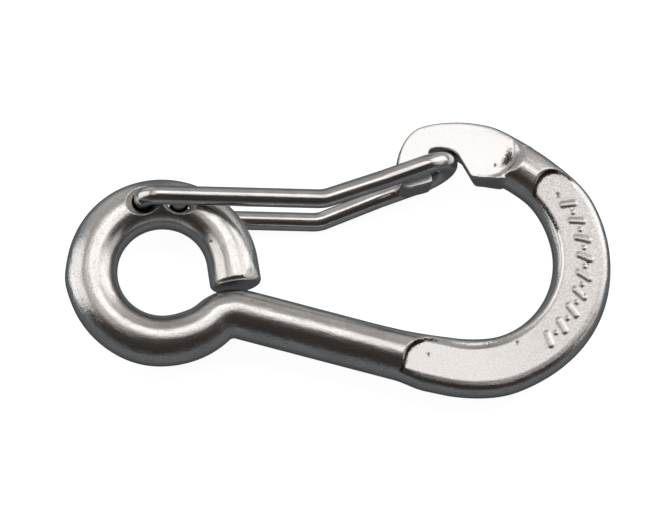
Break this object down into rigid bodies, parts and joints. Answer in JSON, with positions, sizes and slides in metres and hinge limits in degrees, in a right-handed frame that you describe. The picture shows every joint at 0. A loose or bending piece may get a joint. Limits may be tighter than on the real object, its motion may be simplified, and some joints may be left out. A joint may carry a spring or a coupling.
{
  "type": "snap hook",
  "caption": "Forged bar hook with a closed eye, closed by a sprung wire gate that swings inwards; for boat rigging, lanyards and halyards.",
  "frame": {"origin": "centre of the eye, on the mid-plane of the bar", "axes": "+X from the eye along the hook to the bow, +Y towards the side that the gate closes, +Z square to the forged flats; the hook lies flat in XY"},
  "size_m": [0.086, 0.0451, 0.0148],
  "materials": {
    "forged_steel": "tumble-polished stainless steel, satin on the bar and grainy on the forged flats",
    "drawn_wire": "smooth drawn stainless spring wire with a soft shine"
  },
  "bodies": {
    "hook": {"hook_body": "forged_steel"},
    "gate_front": {"gate_front_leg": "drawn_wire"},
    "gate_back": {"gate_back_leg": "drawn_wire"}
  },
  "joints": [
    {"name": "gate_swing", "type": "hinge", "parent": "hook", "child": "gate_front", "pos_m": [-0.003, 0.01075, 0], "axis": [0, 0, -1], "range_deg": [0, 25], "stiffness_Nm_per_rad": 0.6, "springref_deg": -20.05},
    {"name": "gate_flex", "type": "hinge", "parent": "gate_front", "child": "gate_back", "pos_m": [0.0453, 0.01752, 0], "axis": [0, 0, -1], "range_deg": [0, 3.5]}
  ],
  "couplings": [
    {"joint": "gate_flex", "follows": "gate_swing", "ratio": 0.13}
  ]
}
